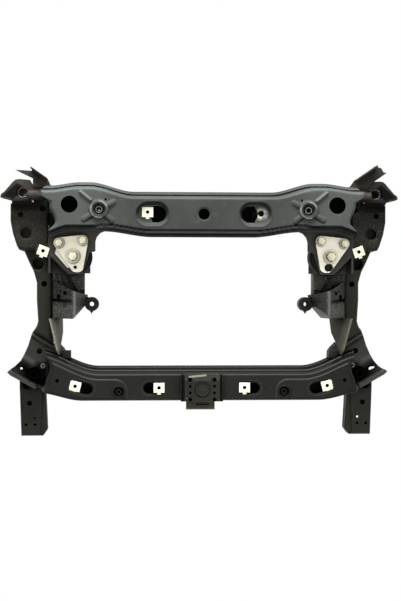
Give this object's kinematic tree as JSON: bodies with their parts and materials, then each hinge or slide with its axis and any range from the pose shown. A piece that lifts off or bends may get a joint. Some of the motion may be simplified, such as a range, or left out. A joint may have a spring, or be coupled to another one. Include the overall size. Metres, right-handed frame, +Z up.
{
  "type": "front axle subframe",
  "caption": "Welded pressed steel front axle subframe with two cross beams, side members, body mounts, engine mounts and forward legs.",
  "frame": {"origin": "middle of the box at floor height", "axes": "X across the car, Y towards the rear beam, Z up, away from the floor it lies on, lower side of the part up"},
  "size_m": [0.886, 0.612, 0.219],
  "materials": {
    "beam_coat": "satin",
    "frame_coat": "satin",
    "bare_sheet": "matte",
    "sleeve_steel": "satin",
    "zinc": "satin",
    "alloy": "matte",
    "rubber": "matte"
  },
  "bodies": {
    "root": {"rear_beam_face_shell": "beam_coat", "rear_beam_back_shell": "beam_coat", "front_beam_face_shell": "frame_coat", "front_beam_back_shell": "frame_coat", "centre_bracket": "frame_coat", "centre_tab": "frame_coat", "plate_bolts": "zinc", "main_bolts": "zinc", "weld_nuts": "zinc", "rear_clip_nut": "zinc", "side_clip_nuts": "zinc", "front_clip_nuts": "zinc", "rack_sleeve_right": "beam_coat", "rack_sleeve_left": "beam_coat", "side_member_face_right": "frame_coat", "side_member_face_left": "frame_coat", "side_member_back_right": "frame_coat", "side_member_back_left": "frame_coat", "rear_side_plate_right": "frame_coat", "rear_side_plate_left": "frame_coat", "corner_box_right": "frame_coat", "corner_box_left": "frame_coat", "rear_ear_right": "frame_coat", "rear_ear_left": "frame_coat", "rear_fin_right": "frame_coat", "rear_fin_left": "frame_coat", "rear_sleeve_right": "sleeve_steel", "rear_sleeve_left": "sleeve_steel", "clip_tab_right": "frame_coat", "clip_tab_left": "frame_coat", "engine_bracket_right": "frame_coat", "engine_bracket_left": "frame_coat", "engine_rubber_right": "rubber", "engine_rubber_left": "rubber", "strut_right": "frame_coat", "strut_left": "frame_coat", "arm_bracket_right": "frame_coat", "arm_bracket_left": "frame_coat", "eye_lug_right": "frame_coat", "eye_lug_left": "frame_coat", "gusset_right": "bare_sheet", "gusset_left": "bare_sheet", "foot_tab_right": "frame_coat", "foot_tab_left": "frame_coat", "saddle_floor_right": "frame_coat", "saddle_floor_left": "frame_coat", "front_sleeve_right": "sleeve_steel", "front_sleeve_left": "sleeve_steel", "front_leg_right": "frame_coat", "front_leg_left": "frame_coat", "leg_back_right": "frame_coat", "leg_back_left": "frame_coat", "mount_plate_right": "alloy", "mount_plate_left": "alloy", "front_saddle_right": "frame_coat", "front_saddle_left": "frame_coat"}
  },
  "joints": []
}
